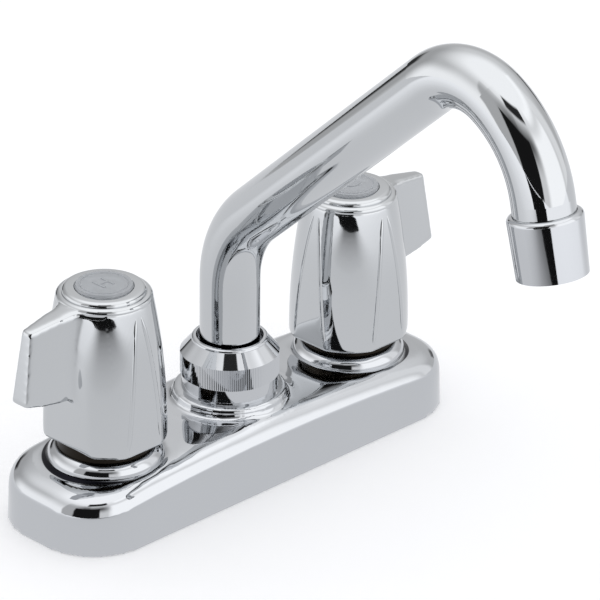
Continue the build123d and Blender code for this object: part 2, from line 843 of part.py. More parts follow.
# Insert: cup with a drilled head that breaks the stream
screen_start = outlet_lip_start - screen_thickness
with BuildPart() as aerator_insert:
    with BuildSketch(outlet_plane(outlet_washer_end)):
        Circle(insert_radius)
    extrude(amount=screen_start - outlet_washer_end)
    with BuildSketch(outlet_plane(outlet_washer_end + insert_head_thickness)):
        Circle(insert_radius - insert_wall)
    extrude(amount=screen_start - outlet_washer_end - insert_head_thickness, mode=Mode.SUBTRACT)
    with BuildSketch(outlet_plane(outlet_washer_end)):
        with PolarLocations(insert_inner_ring_radius, insert_inner_hole_count):
            Circle(insert_hole_radius)
        with PolarLocations(insert_outer_ring_radius, insert_outer_hole_count):
            Circle(insert_hole_radius)
    extrude(amount=insert_head_thickness, mode=Mode.SUBTRACT)
aerator_insert.part.label = "aerator_insert"
export_step(aerator_insert.part, "parts/aerator_insert.step")

# Slotted disc on the lip
with BuildPart() as aerator_screen:
    with BuildSketch(outlet_plane(screen_start)):
        Circle(screen_radius)
    extrude(amount=screen_thickness)
    with BuildSketch(outlet_plane(screen_start)):
        Circle(screen_slot_field_radius)
        bar_width = screen_slot_pitch - screen_slot_width
        with GridLocations(screen_slot_pitch, 0, screen_slot_count, 1):
            Rectangle(bar_width, 2 * screen_radius, mode=Mode.SUBTRACT)
    extrude(amount=screen_thickness, mode=Mode.SUBTRACT)
aerator_screen.part.label = "aerator_screen"
export_step(aerator_screen.part, "parts/aerator_screen.step")
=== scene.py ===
import bpy, json, math
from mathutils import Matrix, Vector

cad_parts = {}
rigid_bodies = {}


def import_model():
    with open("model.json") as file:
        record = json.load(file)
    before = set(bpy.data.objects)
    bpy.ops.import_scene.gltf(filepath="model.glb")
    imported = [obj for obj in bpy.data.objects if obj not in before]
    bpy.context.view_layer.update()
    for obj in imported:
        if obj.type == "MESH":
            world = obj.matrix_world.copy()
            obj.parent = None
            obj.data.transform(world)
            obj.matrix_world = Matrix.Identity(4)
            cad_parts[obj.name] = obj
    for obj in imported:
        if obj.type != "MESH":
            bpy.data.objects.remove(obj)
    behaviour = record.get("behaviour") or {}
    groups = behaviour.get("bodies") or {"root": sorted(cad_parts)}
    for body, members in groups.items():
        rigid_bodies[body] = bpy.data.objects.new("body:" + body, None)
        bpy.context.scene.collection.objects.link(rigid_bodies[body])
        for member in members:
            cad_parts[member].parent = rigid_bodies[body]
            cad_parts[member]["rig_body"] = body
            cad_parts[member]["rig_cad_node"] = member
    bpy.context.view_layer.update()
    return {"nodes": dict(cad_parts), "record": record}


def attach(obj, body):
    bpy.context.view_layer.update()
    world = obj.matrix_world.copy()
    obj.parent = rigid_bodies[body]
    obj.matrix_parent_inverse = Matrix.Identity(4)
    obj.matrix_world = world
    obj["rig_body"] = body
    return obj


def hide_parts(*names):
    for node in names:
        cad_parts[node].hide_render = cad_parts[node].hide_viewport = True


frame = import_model()
nodes = frame["nodes"]
bodies = frame["record"]["behaviour"]["bodies"]
bodyOf = {name: body for body, names in bodies.items() for name in names}
slotOf = {entry["node"]: entry["material_slot"] for entry in frame["record"]["subparts"]}
mm = 0.001
handleX = 101.6 / 2  # the handles' centres are 4 inches apart
creaseDegrees = 40  # edges sharper than this stay crisp
weldReach = 0.002  # millimetres; points of a CAD node this near each other are one
softStep = {"interpolation_type": "SMOOTHSTEP"}
print("stage: frame loaded,", len(nodes), "nodes")


def toLinear(hexColour):
    channels = [int(hexColour[i:i + 2], 16) / 255 for i in (1, 3, 5)]
    linear = [c / 12.92 if c <= 0.04045 else ((c + 0.055) / 1.055) ** 2.4 for c in channels]
    return (*linear, 1.0)


def addNode(tree, kind, settings=None, values=None, links=None):  # sockets are given by name or number
    node = tree.nodes.new(kind)
    for name, setting in (settings or {}).items():
        setattr(node, name, setting)
    for socket, value in (values or {}).items():
        node.inputs[socket].default_value = value
    for socket, source in (links or {}).items():
        tree.links.new(source, node.inputs[socket])
    return node


def newMaterial(name):
    material = bpy.data.materials.new(name)
    material.use_nodes = True
    material.node_tree.nodes.clear()
    output = addNode(material.node_tree, "ShaderNodeOutputMaterial")
    return material, material.node_tree, output


def windowMask(tree, socket, low, high, soft):  # one between low and high millimetres, else nought
    edges = []
    for start, end in ((low - soft, low + soft), (high + soft, high - soft)):
        edge = addNode(tree, "ShaderNodeMapRange", softStep,
                       {"From Min": start * mm, "From Max": end * mm}, {"Value": socket})
        edges.append(edge.outputs["Result"])
    both = addNode(tree, "ShaderNodeMath", {"operation": "MULTIPLY"}, None, {0: edges[0], 1: edges[1]})
    return both.outputs[0]


def paintShadeRing(tree, spot, ring, colour, roughness):  # painted shade: dark and dull in a ring round each handle's axis
    axes = addNode(tree, "ShaderNodeSeparateXYZ", None, None, {"Vector": spot}).outputs
    sideways = addNode(tree, "ShaderNodeMath", {"operation": "ABSOLUTE"}, None, {0: axes["X"]})
    fromAxis = addNode(tree, "ShaderNodeMath", {"operation": "SUBTRACT"}, {1: handleX * mm},
                       {0: sideways.outputs[0]})
    flat = addNode(tree, "ShaderNodeCombineXYZ", None, None, {"X": fromAxis.outputs[0], "Y": axes["Y"]})
    reach = addNode(tree, "ShaderNodeVectorMath", {"operation": "LENGTH"}, None, {0: flat.outputs["Vector"]})
    inRing = windowMask(tree, reach.outputs["Value"], ring["inner"], ring["outer"], ring["soft"])
    inLevel = windowMask(tree, axes["Z"], ring["low"], ring["high"], ring["soft"])
    both = addNode(tree, "ShaderNodeMath", {"operation": "MULTIPLY"}, None, {0: inRing, 1: inLevel})
    mask = both.outputs[0]
    dark = addNode(tree, "ShaderNodeMix", {"data_type": "RGBA"}, {7: toLinear(ring["colour"])},
                   {"Factor": mask, 6: colour})
    dull = addNode(tree, "ShaderNodeMix", {"data_type": "FLOAT"}, {3: ring["roughness"]},
                   {"Factor": mask, 2: roughness})
    return dark.outputs[2], dull.outputs[0]


# Chrome plate: mirror metal, slightly blue in its greys. The metal under it is buffed, so the eye sees a very
# slow ripple in the reflections and hardly any haze
def chromePlate(name, look):
    smoothest, dullest = [look["roughness"] * share for share in (0.8, 1.25)]
    material, tree, output = newMaterial(name)
    spot = addNode(tree, "ShaderNodeTexCoord").outputs["Object"]
    cloud = {}
    for part, detail in (("haze", 2.0), ("tone", 1.0), ("ripple", 1.0)):
        noise = addNode(tree, "ShaderNodeTexNoise", None,
                        {"Scale": 1 / (look[part + "Mm"] * mm), "Detail": detail}, {"Vector": spot})
        cloud[part] = noise.outputs["Fac"]
    haze = addNode(tree, "ShaderNodeMapRange", None, {"To Min": smoothest, "To Max": dullest},
                   {"Value": cloud["haze"]})
    tone = addNode(tree, "ShaderNodeMix", {"data_type": "RGBA"},
                   {6: toLinear(look["colour"]), 7: toLinear(look["colourDeep"])}, {"Factor": cloud["tone"]})
    ripple = addNode(tree, "ShaderNodeBump", None, {"Strength": 1.0, "Distance": look["rippleDepthMm"] * mm},
                     {"Height": cloud["ripple"]})
    colour, roughness = tone.outputs[2], haze.outputs["Result"]
    # painted shade: a dark, dull ring, where the look has one
    if "paintedShadeRing" in look:
        colour, roughness = paintShadeRing(tree, spot, look["paintedShadeRing"], colour, roughness)
    surface = addNode(tree, "ShaderNodeBsdfPrincipled", None, {"Metallic": 1.0},
                      {"Base Color": colour, "Roughness": roughness, "Normal": ripple.outputs["Normal"]})
    tree.links.new(surface.outputs["BSDF"], output.inputs["Surface"])
    return material


def plainFinish(name, look):  # any other finish: a fine cloud in its colour and roughness, and a fine bump
    smoothest, dullest = [look["roughness"] * share for share in (0.85, 1.15)]
    material, tree, output = newMaterial(name)
    spot = addNode(tree, "ShaderNodeTexCoord").outputs["Object"]
    cloud = addNode(tree, "ShaderNodeTexNoise", None, {"Scale": 1 / (look["grainMm"] * mm), "Detail": 3.0},
                    {"Vector": spot}).outputs["Fac"]
    rough = addNode(tree, "ShaderNodeMapRange", None, {"To Min": smoothest, "To Max": dullest},
                    {"Value": cloud})
    tone = addNode(tree, "ShaderNodeMix", {"data_type": "RGBA"},
                   {6: toLinear(look["colour"]), 7: toLinear(look["colourDeep"])}, {"Factor": cloud})
    bump = addNode(tree, "ShaderNodeBump", None, {"Strength": 1.0, "Distance": look["bumpMm"] * mm},
                   {"Height": cloud})
    surface = addNode(tree, "ShaderNodeBsdfPrincipled", None, look["sockets"],
                      {"Base Color": tone.outputs[2], "Roughness": rough.outputs["Result"],
                       "Normal": bump.outputs["Normal"]})
    tree.links.new(surface.outputs["BSDF"], output.inputs["Surface"])
    return material


# Cast body, hand buffed: the deepest ripple. Round each seat, just under the bonnet rings, the plate is
# painted
# dark and dull: painted shade for the recess there
castChrome = {"colour": "#ccced1", "colourDeep": "#c8cacd", "roughness": 0.045,
              "hazeMm": 9, "toneMm": 40, "rippleMm": 26, "rippleDepthMm": 0.02,
              # painted shade: a dark, dull ring on the plate round each handle seat, under the bonnet ring
              "paintedShadeRing": {"inner": 16.8, "outer": 18.9, "low": 16.0, "high": 19.0, "soft": 0.15,
                           "colour": "#1c1c22", "roughness": 0.3}}
# Die-cast handles: a short ripple, very clean
handleChrome = {"colour": "#cdcfd1", "colourDeep": "#c9cbcd", "roughness": 0.04,
                "hazeMm": 8, "toneMm": 30, "rippleMm": 18, "rippleDepthMm": 0.012}
# Turned nuts and outlet: almost no ripple
turnedChrome = {"colour": "#ccced1", "colourDeep": "#c8cacd", "roughness": 0.045,
                "hazeMm": 5, "toneMm": 20, "rippleMm": 12, "rippleDepthMm": 0.004}
# Bonnet rings: turned as well, their necks painted dark and dull under the handles: painted shade below the
# skirts
ringChrome = {**turnedChrome,
              # painted shade: the neck's dark, dull band in the gap under the handle's skirt
              "paintedShadeRing": {"inner": 13.0, "outer": 15.2, "low": 22.9, "high": 27.0, "soft": 0.15,
                           "colour": "#2b2722", "roughness": 0.35}}
# Drawn tube: long, shallow ripple
tubeChrome = {"colour": "#cdcfd1", "colourDeep": "#c9cbcd", "roughness": 0.04,
              "hazeMm": 10, "toneMm": 50, "rippleMm": 30, "rippleDepthMm": 0.015}
# Machined brass: warm yellow with a fine haze from the tool
brassLook = {"colour": "#b8924a", "colourDeep": "#a27d3c", "roughness": 0.28, "grainMm": 1.2, "bumpMm": 0.01,
             "sockets": {"Metallic": 1.0}}
# Nickel plate on brass, satin: soft grey highlights
nickelLook = {"colour": "#a9a9ab", "colourDeep": "#98989b", "roughness": 0.32, "grainMm": 1.0, "bumpMm": 0.01,
              "sockets": {"Metallic": 1.0}}
# Moulded nitrile rubber: near black and dull
rubberLook = {"colour": "#17181a", "colourDeep": "#222326", "roughness": 0.62, "grainMm": 0.8, "bumpMm": 0.02,
              "sockets": {"Metallic": 0.0, "IOR": 1.52}}
# Stainless steel, drawn or cold formed: bright grey, fine grain
steelLook = {"colour": "#b4b5b8", "colourDeep": "#a3a4a8", "roughness": 0.25, "grainMm": 0.6, "bumpMm": 0.004,
             "sockets": {"Metallic": 1.0}}
# Moulded acetal: warm white, soft sheen
plasticLook = {"colour": "#dddcd7", "colourDeep": "#d3d2cc", "roughness": 0.4, "grainMm": 1.5,
               "bumpMm": 0.006, "sockets": {"Metallic": 0.0, "IOR": 1.49}}
# Moulded clear acrylic, greyish: glossy, and the metal shows dimly through it
capLook = {"colour": "#c9ccd0", "colourDeep": "#bfc3c8", "roughness": 0.14, "grainMm": 3, "bumpMm": 0.006,
           "sockets": {"Metallic": 0.0, "IOR": 1.49, "Transmission Weight": 0.35}}
finishes = {
    "body_chrome": chromePlate("castZincChromePlated", castChrome),
    "handle_chrome": chromePlate("dieCastHandleChromePlated", handleChrome),
    "nut_chrome": chromePlate("turnedBrassChromePlated", turnedChrome),
    "tube_chrome": chromePlate("drawnTubeChromePlated", tubeChrome),
    "outlet_chrome": chromePlate("turnedOutletChromePlated", turnedChrome),
    "brass": plainFinish("machinedBrass", brassLook),
    "rubber": plainFinish("mouldedNitrileRubber", rubberLook),
    "spring_steel": plainFinish("drawnStainlessWire", steelLook),
    "screw_steel": plainFinish("coldFormedStainless", steelLook),
    "white_plastic": plainFinish("mouldedAcetal", plasticLook),
    "clear_cap": plainFinish("mouldedGreyAcrylic", capLook),
}
ringFinish = chromePlate("turnedRingChromePlated", ringChrome)
ownFinish = {"left_bonnet_nut": ringFinish, "right_bonnet_nut": ringFinish,
             "spout_ferrule": plainFinish("satinNickelPlatedBrass", nickelLook)}
for name, node in nodes.items():
    node.data.materials.clear()
    node.data.materials.append(ownFinish.get(name, finishes[slotOf[name]]))
print("stage: finishes made")


def deselectAll():
    if bpy.context.mode != "OBJECT":
        bpy.ops.object.mode_set(mode="OBJECT")
    bpy.ops.object.select_all(action="DESELECT")


def pick(item):  # selected alone and active
    deselectAll()
    item.select_set(True)
    bpy.context.view_layer.objects.active = item


def twin(item, name):  # a copy with its own mesh, picked
    copy = item.copy()
    copy.data = item.data.copy()
    copy.name = name
    bpy.context.scene.collection.objects.link(copy)
    pick(copy)
    return copy


def applyModifier(kind, settings):
    item = bpy.context.object
    modifier = item.modifiers.new(kind.lower(), kind)
    for name, value in settings.items():
        setattr(modifier, name, value)
    bpy.ops.object.modifier_apply(modifier=modifier.name)


def looseCopy(name, newName):  # a copy of a CAD node with its doubles merged and its own shading cleared
    item = twin(nodes[name], newName)
    item.parent = None
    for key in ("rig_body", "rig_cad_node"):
        if key in item:
            del item[key]
    bpy.ops.mesh.customdata_custom_splitnormals_clear()
    bpy.ops.object.mode_set(mode="EDIT")
    bpy.ops.mesh.select_all(action="SELECT")
    bpy.ops.mesh.remove_doubles(threshold=weldReach * mm)
    bpy.ops.object.mode_set(mode="OBJECT")
    return item


def markWhere(item, inside, name):  # a vertex group of the points inside
    group = item.vertex_groups.new(name=name)
    group.add([vertex.index for vertex in item.data.vertices if inside(vertex.co)], 1.0, "REPLACE")


def softenWhere(item, inside, passes):  # buffing of one area only
    markWhere(item, inside, "buffed")
    applyModifier("SMOOTH", {"factor": 0.5, "iterations": passes, "vertex_group": "buffed"})
    item.vertex_groups.clear()


def voxelSkin(size):  # one closed, even skin over all that was joined
    applyModifier("REMESH", {"mode": "VOXEL", "voxel_size": size * mm, "adaptivity": 0.0,
                             "use_smooth_shade": True})


# Cast body: buffed on a soft wheel, so its shoulders run into the sides and top without a line. Its shading
# comes in part from a softer twin, which calms the reflections on the shoulders. The foot keeps its sharp edge
bodyCast = {"voxel": 0.75, "polishPasses": 8, "keptBelow": 2.5,
            "shoulderFoot": 5.0, "shoulderPasses": 26, "seatReach": 20.5,
            "shadePasses": 120, "shadeReach": 21.5, "shadeShare": 0.8}


def onShoulder(point, reach):  # above the plate's foot and outside the round seats
    fromSeats = [math.hypot(point.x / mm - middle, point.y / mm) for middle in (-handleX, 0, handleX)]
    return point.z > bodyCast["shoulderFoot"] * mm and min(fromSeats) > reach


castBody = looseCopy("faucet_body", "faucet_body.cast")
voxelSkin(bodyCast["voxel"])
softenWhere(castBody, lambda point: point.z > bodyCast["keptBelow"] * mm, bodyCast["polishPasses"])
softenWhere(castBody, lambda point: onShoulder(point, bodyCast["seatReach"]), bodyCast["shoulderPasses"])
softBody = twin(castBody, "softBody")
softenWhere(softBody, lambda point: True, bodyCast["shadePasses"])
pick(castBody)
markWhere(castBody, lambda point: onShoulder(point, bodyCast["shadeReach"]), "outside")
applyModifier("DATA_TRANSFER", {"object": softBody, "use_loop_data": True,
                                "data_types_loops": {"CUSTOM_NORMAL"}, "loop_mapping": "TOPOLOGY",
                                "vertex_group": "outside", "mix_factor": bodyCast["shadeShare"]})
castBody.vertex_groups.clear()
bpy.data.objects.remove(softBody)
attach(castBody, bodyOf["faucet_body"])
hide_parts("faucet_body")
print("stage: cast body made,", len(castBody.data.polygons), "faces")

# Lever handles: die-cast hub with barrel-shaped walls and four facets, polished until every edge is rolled
# over. The blade comes from a copy of the CAD handle, the hub and its beaded top are modelled here
lever = {"axisX": -handleX, "skirtLevel": 25.7, "skirtRadius": 18.3, "rimLevel": 71.1, "rimRadius": 14.3,
         "bulge": 1.15, "bodyTop": 71.5, "levels": 24, "wallSides": 144,
         "facetReach": 17.05, "facetRun": 1.25, "leverFacetReach": 14.9, "farSide": 25,
         "blockSpare": 2, "blockTurn": 45,
         "hollowFoot": 14.7, "hollowHead": 11.6, "hollowTop": 62.0, "hollowSides": 96,
         "postRadius": 7.4, "postFoot": 45.0, "socketRadius": 4.7, "postSides": 64, "overlap": 1,
         "bladeCut": 13.4, "voxel": 0.42, "polishPasses": 14,
         "rootNear": 9.5, "rootFar": 19.5, "rootPasses": 46, "bladeNear": 15.5, "bladePasses": 30}
leverRim = {"beadRadius": 1.45, "stepRadius": 12.5, "plateau": 73.9, "plateauEdge": 1.4, "beadSteps": 12,
            "edgeSteps": 8, "footInset": 1.2, "footSink": 2.5, "footRise": 0.5,
            "pocketRadius": 8.75, "pocketFloor": 71.0, "pocketEdge": 0.15}
edgeBead = {"width": 1.5, "sink": 0.3, "foot": 28.2, "head": 68.6, "steps": 20, "roundness": 4,
            "footShares": (0.3, 0.8), "headShares": (0.85, 0.35)}


def wallReach(level, foot, bulge):  # barrel-shaped wall from the skirt to the rim
    share = (level - lever["skirtLevel"]) / (lever["rimLevel"] - lever["skirtLevel"])
    return foot + (lever["rimRadius"] - foot) * share + bulge * 4 * share * (1 - share)


def facetReachAt(level):  # the facets run out just under the rim
    share = (level - lever["skirtLevel"]) / (lever["rimLevel"] - lever["skirtLevel"])
    depth = (lever["skirtRadius"] - lever["facetReach"]) * max(1 - share, 0.0) ** lever["facetRun"]
    return wallReach(level, lever["skirtRadius"], lever["bulge"]) - depth


def stackedRings(name, sides, rings, centreX, turnDegrees=0.0):  # a disc extruded up ring by ring
    deselectAll()
    radius, level = rings[0]
    bpy.ops.mesh.primitive_circle_add(vertices=sides, radius=radius * mm, fill_type="NGON",
                                      location=(centreX * mm, 0, level * mm),
                                      rotation=(0, 0, math.radians(turnDegrees)))
    item = bpy.context.object
    item.name = name
    bpy.ops.object.transform_apply(location=True, rotation=True, scale=True)
    bpy.ops.object.mode_set(mode="EDIT")
    bpy.ops.mesh.select_all(action="SELECT")
    for (lastRadius, lastLevel), (radius, level) in zip(rings, rings[1:]):
        rise = (level - lastLevel) * mm
        bpy.ops.mesh.extrude_region_move(TRANSFORM_OT_translate={"value": (0, 0, rise)})
        share = radius / lastRadius
        bpy.ops.transform.resize(value=(share, share, 1), center_override=(centreX * mm, 0, level * mm))
    bpy.ops.mesh.select_all(action="SELECT")
    bpy.ops.mesh.normals_make_consistent(inside=False)
    bpy.ops.object.mode_set(mode="OBJECT")
    return item


def joinInto(item, others):
    pick(item)
    for other in others:
        other.select_set(True)
    bpy.ops.object.join()
    return item


def cutWith(item, tool, operation):
    pick(item)
    applyModifier("BOOLEAN", {"operation": operation, "object": tool, "solver": "EXACT"})
    bpy.data.objects.remove(tool)


def arcRings(centreRadius, centreLevel, radius, start, end, steps):  # start and end in degrees
    angles = [math.radians(start + (end - start) * step / steps) for step in range(steps + 1)]
    return [(centreRadius + radius * math.cos(a), centreLevel + radius * math.sin(a)) for a in angles]


def bladeChunk():  # the CAD handle's blade, cut off inside the hub wall and closed
    chunk = looseCopy("left_handle", "bladeChunk")
    cutX = (lever["axisX"] - lever["bladeCut"]) * mm
    bpy.ops.object.mode_set(mode="EDIT")
    bpy.ops.mesh.select_all(action="SELECT")
    bpy.ops.mesh.bisect(plane_co=(cutX, 0, 0), plane_no=(1, 0, 0), use_fill=True, clear_outer=True)
    bpy.ops.object.mode_set(mode="OBJECT")
    return chunk


def hubWall():  # the barrel, cut to its four facets, the one on the blade's side deeper
    rise = (lever["bodyTop"] - lever["skirtLevel"]) / lever["levels"]
    levels = [lever["skirtLevel"] + rise * step for step in range(lever["levels"] + 1)]
    blockLevels = [levels[0] - lever["blockSpare"]] + levels[1:-1] + [levels[-1] + lever["blockSpare"]]
    wall = [(wallReach(level, lever["skirtRadius"], lever["bulge"]), level) for level in levels]
    hub = stackedRings("left_handle.cast", lever["wallSides"], wall, lever["axisX"])
    toCorner = math.sqrt(2)
    facets = [(facetReachAt(level) * toCorner, level) for level in blockLevels]
    cutWith(hub, stackedRings("facetBlock", 4, facets, lever["axisX"], lever["blockTurn"]), "INTERSECT")
    deepFacet = []
    for level in blockLevels:
        reach = wallReach(level, lever["leverFacetReach"], lever["bulge"]) + lever["farSide"]
        deepFacet.append((reach * toCorner, level))
    deepMiddle = lever["axisX"] + lever["farSide"]
    cutWith(hub, stackedRings("leverFacetBlock", 4, deepFacet, deepMiddle, lever["blockTurn"]), "INTERSECT")
    return hub


def leverBody():  # hub, blade and the post with its socket, hollow from below and in one skin
    hub = hubWall()
    overlap = lever["overlap"]
    hollowRings = [(lever["hollowFoot"], lever["skirtLevel"] - overlap),
                   (lever["hollowHead"], lever["hollowTop"])]
    cutWith(hub, stackedRings("hollow", lever["hollowSides"], hollowRings, lever["axisX"]), "DIFFERENCE")
    postRings = [(lever["postRadius"], lever["postFoot"]),
                 (lever["postRadius"], lever["hollowTop"] + overlap)]
    post = stackedRings("post", lever["postSides"], postRings, lever["axisX"])
    socketRings = [(lever["socketRadius"], lever["postFoot"] - overlap),
                   (lever["socketRadius"], lever["hollowTop"] - overlap)]
    cutWith(post, stackedRings("socket", lever["postSides"], socketRings, lever["axisX"]), "DIFFERENCE")
    joinInto(hub, [bladeChunk(), post])
    voxelSkin(lever["voxel"])
    applyModifier("SMOOTH", {"factor": 0.5, "iterations": lever["polishPasses"]})
    softenWhere(hub, lambda point: lever["rootNear"] < lever["axisX"] - point.x / mm < lever["rootFar"],
                lever["rootPasses"])
    softenWhere(hub, lambda point: lever["axisX"] - point.x / mm > lever["bladeNear"], lever["bladePasses"])
    return hub


def facetEdge(turnDegrees, side):  # the line where a facet meets the round wall, a little inside the metal
    turn = math.radians(turnDegrees)
    points = []
    for step in range(edgeBead["steps"] + 1):
        level = edgeBead["foot"] + (edgeBead["head"] - edgeBead["foot"]) * step / edgeBead["steps"]
        wall = wallReach(level, lever["skirtRadius"], lever["bulge"])
        facet = facetReachAt(level)
        spread = side * math.sqrt(max(wall * wall - facet * facet, 0.0))
        inset = 1 - edgeBead["sink"] / wall
        points.append((lever["axisX"] + inset * (facet * math.cos(turn) - spread * math.sin(turn)),
                       inset * (facet * math.sin(turn) + spread * math.cos(turn)), level))
    return points


def facetBeads():  # polished bead on each edge of the three facets that have no blade
    beads = []
    for points in [facetEdge(turn, side) for turn in (-90, 0, 90) for side in (-1, 1)]:
        deselectAll()
        bpy.ops.curve.primitive_nurbs_path_add(location=(0, 0, 0))
        bead = bpy.context.object
        bead.data.splines.remove(bead.data.splines[0])
        line = bead.data.splines.new("POLY")
        line.points.add(len(points) - 1)
        for knot, (x, y, z) in zip(line.points, points):
            knot.co = (x * mm, y * mm, z * mm, 1.0)
        line.points[0].radius, line.points[1].radius = edgeBead["footShares"]
        line.points[-2].radius, line.points[-1].radius = edgeBead["headShares"]
        bead.data.bevel_depth = edgeBead["width"] / 2 * mm
        bead.data.bevel_resolution = edgeBead["roundness"]
        bead.data.use_fill_caps = True
        bpy.ops.object.convert(target="MESH")
        bpy.ops.object.shade_smooth()
        beads.append(bpy.context.object)
    return beads


def leverTop():  # bead, step and plateau, with the round pocket for the index button
    look = leverRim
    beadCentre = lever["rimRadius"] - look["beadRadius"]
    footAngle = math.degrees(math.acos((look["stepRadius"] - beadCentre) / look["beadRadius"]))
    edge = look["plateauEdge"]
    rings = [(lever["rimRadius"] - look["footInset"], lever["rimLevel"] - look["footSink"]),
             (lever["rimRadius"], lever["rimLevel"] - look["footRise"])]
    rings += arcRings(beadCentre, lever["rimLevel"], look["beadRadius"], 0, footAngle, look["beadSteps"])
    rings += arcRings(look["stepRadius"] - edge, look["plateau"] - edge, edge, 0, 90, look["edgeSteps"])
    rings += [(look["pocketRadius"] + look["pocketEdge"], look["plateau"]),
              (look["pocketRadius"], look["plateau"] - look["pocketEdge"]),
              (look["pocketRadius"], look["pocketFloor"])]
    top = stackedRings("leverTop", lever["wallSides"], rings, lever["axisX"])
    bpy.ops.object.shade_smooth_by_angle(angle=math.radians(creaseDegrees))
    return top


castLeft = joinInto(leverBody(), [leverTop()] + facetBeads())
castRight = twin(castLeft, "right_handle.cast")
bpy.ops.object.mode_set(mode="EDIT")
bpy.ops.mesh.select_all(action="SELECT")
bpy.ops.transform.rotate(value=math.pi, orient_axis="Z", center_override=(0, 0, 0))
bpy.ops.object.mode_set(mode="OBJECT")
for item, name in ((castLeft, "left_handle"), (castRight, "right_handle")):
    pick(item)
    bpy.ops.object.transform_apply(location=True, rotation=True, scale=True)
    item.data.materials.clear()
    item.data.materials.append(finishes["handle_chrome"])
    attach(item, bodyOf[name])
    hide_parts(name)
    print("  ", item.name, len(item.data.polygons), "faces")
print("stage: lever handles made")

# Index buttons: a plain raised letter, H for hot and C for cold, inside a fine raised ring
marks = {"size": 7.4, "level": 74.64, "thick": 0.15, "edge": 0.08, "edgeSteps": 2,
         "ring": 7.1, "ringWire": 0.17, "ringRise": 0.05, "ringSides": 72, "wireSides": 10}
for name, text, side in (("left_index_button", "H", -handleX), ("right_index_button", "C", handleX)):
    deselectAll()
    bpy.ops.mesh.primitive_torus_add(major_radius=marks["ring"] * mm, minor_radius=marks["ringWire"] * mm,
                                     major_segments=marks["ringSides"], minor_segments=marks["wireSides"],
                                     location=(side * mm, 0, (marks["level"] + marks["ringRise"]) * mm))
    ring = bpy.context.object
    bpy.ops.object.text_add(location=(side * mm, 0, marks["level"] * mm))
    letter = bpy.context.object
    letter.data.body = text
    letter.data.size = marks["size"] * mm
    letter.data.extrude = marks["thick"] * mm
    letter.data.bevel_depth = marks["edge"] * mm
    letter.data.bevel_resolution = marks["edgeSteps"]
    letter.data.align_x = "CENTER"
    letter.data.align_y = "CENTER"
    bpy.ops.object.convert(target="MESH")
    letter = bpy.context.object
    joinInto(letter, [ring])
    bpy.ops.object.transform_apply(location=True, rotation=True, scale=True)
    bpy.ops.object.shade_smooth_by_angle(angle=math.radians(creaseDegrees))
    letter.name = name + ".mark"
    letter.data.materials.clear()
    letter.data.materials.append(finishes["clear_cap"])
    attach(letter, bodyOf[name])
print("stage: index marks made")

# Camera: long lens, fitted to the photo
camera = {"place": (-868.8, -898.7, 657.6), "turn": (64.168, -0.581, -44.710), "lens": 278.67, "sensor": 36,
          "nearClip": 50}
lensData = bpy.data.cameras.new("photoCamera")
lensData.lens = camera["lens"]
lensData.sensor_width = camera["sensor"]
lensData.clip_start = camera["nearClip"] * mm
cameraObject = bpy.data.objects.new("photoCamera", lensData)
bpy.context.scene.collection.objects.link(cameraObject)
cameraObject.location = Vector(camera["place"]) * mm
cameraObject.rotation_euler = [math.radians(angle) for angle in camera["turn"]]
bpy.context.scene.camera = cameraObject

# Stage: a white paper floor. A round light tent and two floor cards show in reflections only
stageLook = {"paper": "#f7f7f8", "paperDeep": "#f4f4f5", "fibreMm": 2.5, "paperLift": 0.16,
             "paperSize": 7.2, "paperLevel": -0.3,
             "tentRadius": 3.6, "tentSides": 64, "tentRings": 32, "wallTone": 0.918,
             "tentTint": (0.985, 0.99, 1.0), "floorTint": (0.98, 0.99, 1.015), "skyTint": (0.98, 0.985, 1.0)}
tentPanels = [  # azimuth and half width in degrees, low and high edge in degrees of elevation, softness, tone
    {"name": "rightWall", "azimuth": 24, "half": 70, "low": -90, "high": 26, "soft": 24, "tone": 0.650},
    {"name": "frontRightWall", "azimuth": -27, "half": 12, "low": -90, "high": 60, "soft": 11, "tone": 1.089},
    {"name": "backWall", "azimuth": 95, "half": 38, "low": -90, "high": 35, "soft": 29, "tone": 0.515},
    {"name": "backWindow", "azimuth": 145.5, "half": 36, "low": -90, "high": 25, "soft": 30, "tone": 1.353},
    {"name": "leftWall", "azimuth": 190, "half": 24.5, "low": -90, "high": 51, "soft": 3.5, "tone": 0.594},
    {"name": "leftWindow", "azimuth": -75, "half": 32.5, "low": -90, "high": 42, "soft": 12.5, "tone": 1.480},
    {"name": "brow", "azimuth": -45, "half": 48, "low": 51.5, "high": 61.5, "soft": 12, "tone": 1.825},
    {"name": "ceiling", "azimuth": 0, "half": 400, "low": 51.5, "high": 200, "soft": 30, "tone": 1.431},
    {"name": "doorHead", "azimuth": -139, "half": 28, "low": 24, "high": 41.5, "soft": 25, "tone": 0.048},
    {"name": "door", "azimuth": -150, "half": 23.5, "low": -90, "high": 35, "soft": 3, "tone": 0.012},
    {"name": "overheadGap", "azimuth": -132, "half": 22, "low": 49, "high": 60, "soft": 4, "tone": 0.03},
    {"name": "backPost", "azimuth": 75, "half": 9, "low": -13.5, "high": 13, "soft": 8, "tone": 0.039},
    {"name": "rightPost", "azimuth": 17, "half": 7, "low": -18, "high": 10, "soft": 6, "tone": 0.169},
]
greyCard = {"name": "greyFloorCard", "size": 9.0, "level": -0.1,
            "toCamera": (-1, -1, 0), "toSide": (1, -1, 0),
            "stripMiddle": 20, "stripInner": 90, "stripOuter": 270,
            "backTone": 0.847, "backFrom": -150, "backTo": 0,
            # painted shadow on the floor toward the camera, and painted light far out at the sides
            "towardCamera": [(0, 0.847), (120, 0.818), (195, 0.788), (225, 0.730), (280, 0.657),
                             (350, 0.555), (425, 0.453), (515, 0.307), (590, 0.204), (640, 0.073)],
            "aside": [(120, 0.876), (280, 0.993), (350, 1.080), (450, 1.139), (700, 1.241), (1200, 1.314)]}
